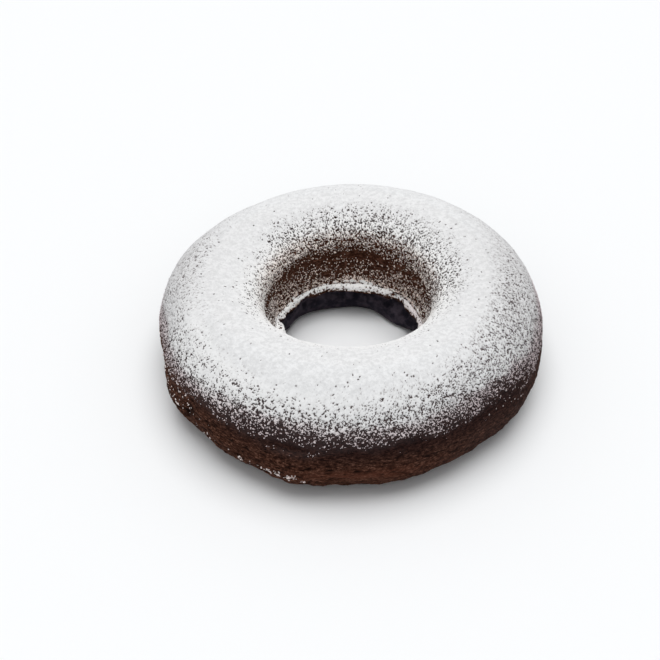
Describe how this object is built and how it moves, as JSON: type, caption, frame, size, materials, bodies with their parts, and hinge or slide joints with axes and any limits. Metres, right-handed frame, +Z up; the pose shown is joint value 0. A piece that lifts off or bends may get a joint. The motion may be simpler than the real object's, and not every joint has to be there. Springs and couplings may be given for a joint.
{
  "type": "ring cake",
  "caption": "Chocolate ring cake with a rounded top, a steep hole ending in a ragged lip, and a domed underside pressed flat; dusted with icing sugar.",
  "frame": {"origin": "centre of the outline on the surface the cake stands on", "axes": "+Z up out of the flat base, -Y towards the side the picture shows in front, +X to its right"},
  "size_m": [0.2602, 0.2602, 0.0774],
  "materials": {
    "chocolate_crumb": null,
    "icing_sugar": "dry white powder, solid on the crest and breaking up into specks where the crust gets steep"
  },
  "bodies": {
    "root": {"ring_cake": "chocolate_crumb"}
  },
  "joints": []
}
